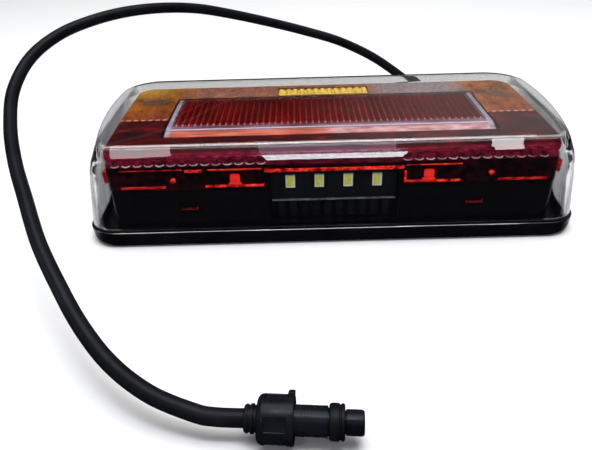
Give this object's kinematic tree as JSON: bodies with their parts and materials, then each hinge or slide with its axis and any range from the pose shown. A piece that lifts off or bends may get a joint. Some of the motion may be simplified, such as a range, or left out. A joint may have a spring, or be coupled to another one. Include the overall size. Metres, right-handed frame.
{
  "type": "trailer tail light",
  "caption": "Rectangular LED trailer tail lamp with clear cover, red and amber inner lenses, reflex reflector, number plate window and a short lead with a round plug.",
  "frame": {"origin": "middle of the flat mounting face at the back of the lamp, which is the bottom centre of the lamp's own box", "axes": "+Z out through the lens, +X along the lamp, +Y to the long side where the lead leaves"},
  "size_m": [0.2692, 0.2876, 0.0879],
  "materials": {
    "black_gloss": "gloss black moulded plastic",
    "clear_lens": "clear polished plastic",
    "red_lens": "translucent dark red plastic",
    "amber_lens": "translucent amber plastic",
    "reflex_red": "deep red prismatic plastic",
    "black_rubber": "satin black rubber",
    "black_matt": "satin black plastic",
    "circuit_board": "black solder mask",
    "white_led": "yellow phosphor in a white frame",
    "red_led": "red chip",
    "amber_led": "yellow chip",
    "component": "dark epoxy",
    "zinc_steel": "zinc plated",
    "brass": "turned",
    "core_yellow": "insulation",
    "core_green": "insulation",
    "core_white": "insulation",
    "core_red": "insulation",
    "core_brown": "insulation"
  },
  "bodies": {
    "lamp": {"amber_inner_lens": "amber_lens", "base_housing": "black_gloss", "board_screw_1": "zinc_steel", "board_screw_2": "zinc_steel", "board_screw_3": "zinc_steel", "board_screw_4": "zinc_steel", "breather_vent": "black_matt", "cable": "black_rubber", "cable_gland": "black_matt", "cable_strain_relief": "black_rubber", "contact_pin_1": "brass", "contact_pin_2": "brass", "contact_pin_3": "brass", "contact_pin_4": "brass", "contact_pin_5": "brass", "core_wire_brown": "core_brown", "core_wire_green": "core_green", "core_wire_red": "core_red", "core_wire_white": "core_white", "core_wire_yellow": "core_yellow", "driver_chip": "component", "gland_nut": "black_matt", "inner_bezel": "black_gloss", "input_diode": "component", "lens_seal": "black_rubber", "main_circuit_board": "circuit_board", "mounting_insert_left": "brass", "mounting_insert_right": "brass", "outer_lens": "clear_lens", "plate_circuit_board": "circuit_board", "plate_led_1": "white_led", "plate_led_2": "white_led", "plate_led_3": "white_led", "plate_led_4": "white_led", "plug_body": "black_matt", "plug_insert": "black_matt", "plug_seal_ring": "black_rubber", "plug_strain_relief": "black_rubber", "red_inner_lens": "red_lens", "reflector_frame": "clear_lens", "reflex_reflector": "reflex_red", "resistor_1": "component", "resistor_2": "component", "smoothing_capacitor": "component", "tail_led_1": "red_led", "tail_led_2": "red_led", "tail_led_3": "red_led", "tail_led_4": "red_led", "turn_led_1": "amber_led", "turn_led_2": "amber_led", "turn_led_3": "amber_led", "turn_led_4": "amber_led", "turn_light_bar": "amber_led"},
    "coupling_ring": {"coupling_ring": "black_matt"}
  },
  "joints": [
    {"name": "coupling_ring_turn", "type": "hinge", "parent": "lamp", "child": "coupling_ring", "pos_m": [-0.02373, -0.15985, 0.0082], "axis": [0.9969, -0.0785, 0], "continuous": true}
  ]
}
